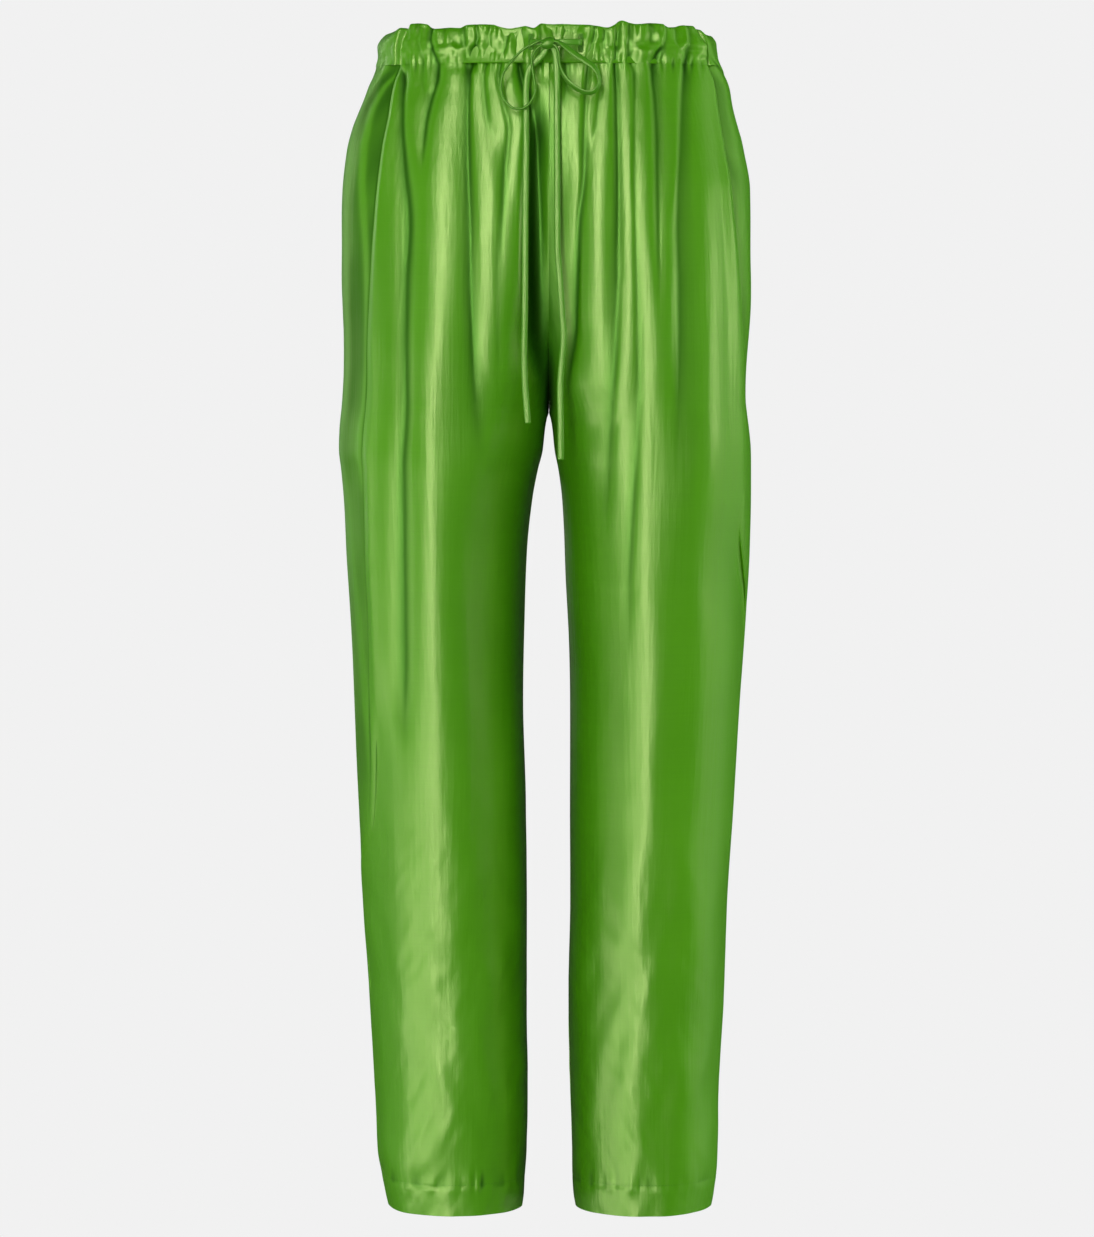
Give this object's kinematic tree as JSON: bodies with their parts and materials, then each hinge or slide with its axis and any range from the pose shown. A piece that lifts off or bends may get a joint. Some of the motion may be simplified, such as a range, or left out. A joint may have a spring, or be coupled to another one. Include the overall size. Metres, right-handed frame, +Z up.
{
  "type": "drawstring trousers",
  "caption": "Pull-on satin trousers in a filled-out standing form: gathered elastic waist casing, drawstring bow, lapped side seams and straight wide legs with turned hems.",
  "frame": {"origin": "middle of the waist opening at half the height of the gathered casing, where the wearer holds it", "axes": "+Z up along the legs, -Y to the garment's front, +X to the wearer's left"},
  "size_m": [0.3687, 0.2564, 1.0587],
  "materials": {
    "satin": "satin",
    "casing": "satin",
    "drawstring": "satin"
  },
  "bodies": {
    "root": {"front_right": "satin", "front_left": "satin", "back_right": "satin", "back_left": "satin", "casing_front": "casing", "casing_back": "casing", "tie_right": "drawstring", "tie_left": "drawstring", "bow_loop_right": "drawstring", "bow_loop_left": "drawstring", "cord_end_right": "drawstring", "cord_end_left": "drawstring", "bow_knot": "drawstring"}
  },
  "joints": []
}
